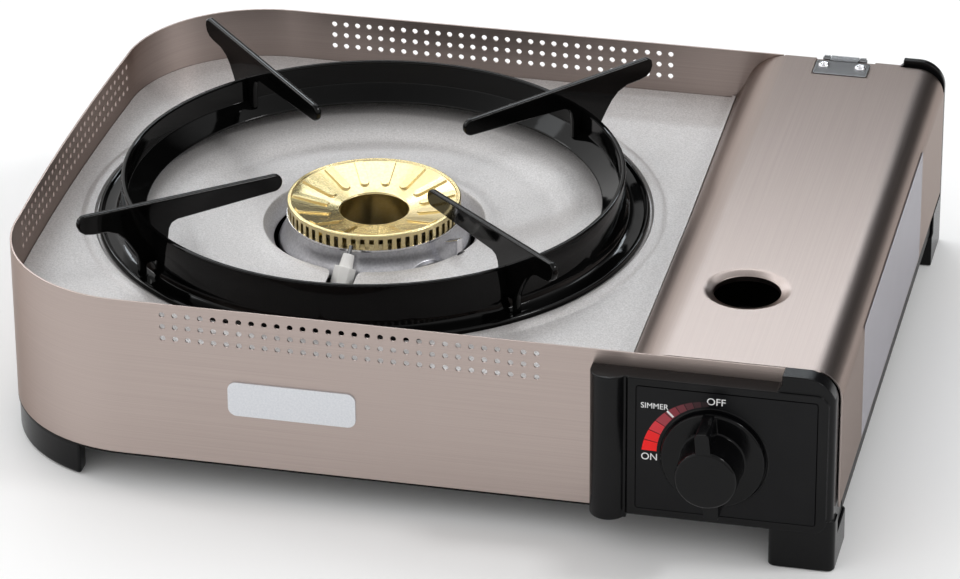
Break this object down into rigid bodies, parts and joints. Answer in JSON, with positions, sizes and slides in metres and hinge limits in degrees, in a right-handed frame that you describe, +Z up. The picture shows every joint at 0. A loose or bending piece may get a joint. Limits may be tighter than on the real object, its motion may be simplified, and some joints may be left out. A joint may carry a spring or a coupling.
{
  "type": "butane cassette stove",
  "caption": "Low sheet-metal table stove with a round wind band, one burner under a lift-off four-arm trivet, and a hinged lid over the gas canister bay.",
  "frame": {"origin": "on the table under the middle of the stove's bounding box", "axes": "+X to the canister bay and knob side, +Y to the back wall and hinge, +Z up"},
  "size_m": [0.337, 0.2964, 0.093],
  "materials": {
    "brushed_band": "brushed lengthways",
    "brushed_lid": "brushed front to back",
    "plate_steel": "matte",
    "black_pan": "satin",
    "galvanised": "dull zinc",
    "alloy_sheet": "mill finish",
    "black_plastic": "satin",
    "dial_print": "printed sheet",
    "badge": "satin",
    "side_print": "blank sheet",
    "bright_steel": "zinc plated",
    "cast_alloy": "as cast",
    "brass_cap": "satin",
    "brass_small": "turned",
    "magnet": "dark plated",
    "seal_rubber": "matte",
    "wire_rubber": "matte",
    "white_ceramic": "glazed",
    "knob_plastic": "satin gloss",
    "black_enamel": "gloss enamel"
  },
  "bodies": {
    "stove": {"wind_band": "brushed_band", "top_plate": "plate_steel", "plate_tab": "bright_steel", "base_pan": "black_pan", "canister_tray": "black_pan", "bay_divider": "galvanised", "heat_panel": "alloy_sheet", "front_panel": "black_plastic", "dial_plate": "dial_print", "rear_cap": "black_plastic", "foot_front_left": "black_plastic", "foot_rear_left": "black_plastic", "badge_plate": "badge", "panel_screws": "bright_steel", "base_screws": "bright_steel", "burner_stand": "galvanised", "burner_body": "cast_alloy", "burner_ring": "bright_steel", "burner_cap": "brass_cap", "burner_screws": "bright_steel", "mixing_tube": "alloy_sheet", "nozzle_holder": "brass_small", "nozzle": "brass_small", "gas_pipe": "bright_steel", "regulator_bracket": "galvanised", "regulator_body": "cast_alloy", "regulator_cover": "bright_steel", "regulator_screws": "bright_steel", "canister_collar": "magnet", "collar_magnets": "magnet", "seal_ring": "seal_rubber", "canister_guide": "black_plastic", "igniter_housing": "black_plastic", "electrode_ceramic": "white_ceramic", "electrode_pin": "bright_steel", "electrode_bracket": "galvanised", "ignition_wire": "wire_rubber", "hinge_leaf_base": "bright_steel", "hinge_pin": "bright_steel", "hinge_rivets": "bright_steel"},
    "lid": {"lid": "brushed_lid", "hinge_leaf_lid": "bright_steel", "lid_rivets": "bright_steel", "side_label": "side_print"},
    "knob": {"knob": "knob_plastic", "spindle": "bright_steel", "cam": "black_plastic"},
    "igniter_plunger": {"igniter_plunger": "bright_steel"},
    "valve_needle": {"valve_needle": "brass_small"},
    "release_pin": {"release_pin": "bright_steel"},
    "trivet": {"trivet_ring": "black_enamel", "trivet_arm_1": "black_enamel", "trivet_arm_2": "black_enamel", "trivet_arm_3": "black_enamel", "trivet_arm_4": "black_enamel"}
  },
  "joints": [
    {"name": "lid_hinge", "type": "hinge", "parent": "stove", "child": "lid", "pos_m": [0.12655, 0.14675, 0.0796], "axis": [-1, 0, 0], "range_deg": [0, 97]},
    {"name": "knob_turn", "type": "hinge", "parent": "stove", "child": "knob", "pos_m": [0.1223, -0.132, 0.0443], "axis": [0, -1, 0], "range_deg": [0, 88]},
    {"name": "igniter_push", "type": "slide", "parent": "stove", "child": "igniter_plunger", "axis": [-1, 0, 0], "range_m": [0, 0.006]},
    {"name": "valve_lift", "type": "slide", "parent": "stove", "child": "valve_needle", "axis": [0, 1, 0], "range_m": [0, 0.001]},
    {"name": "release_push", "type": "slide", "parent": "stove", "child": "release_pin", "axis": [0, 1, 0], "range_m": [0, 0.0025], "stiffness_N_per_m": 800},
    {"name": "trivet_lift", "type": "slide", "parent": "stove", "child": "trivet", "axis": [0, 0, 1], "range_m": [0, 0.06]}
  ],
  "couplings": [
    {"joint": "igniter_push", "follows": "knob_turn", "m_per_rad": 0.0039065},
    {"joint": "valve_lift", "follows": "knob_turn", "m_per_rad": 0.00065109}
  ]
}
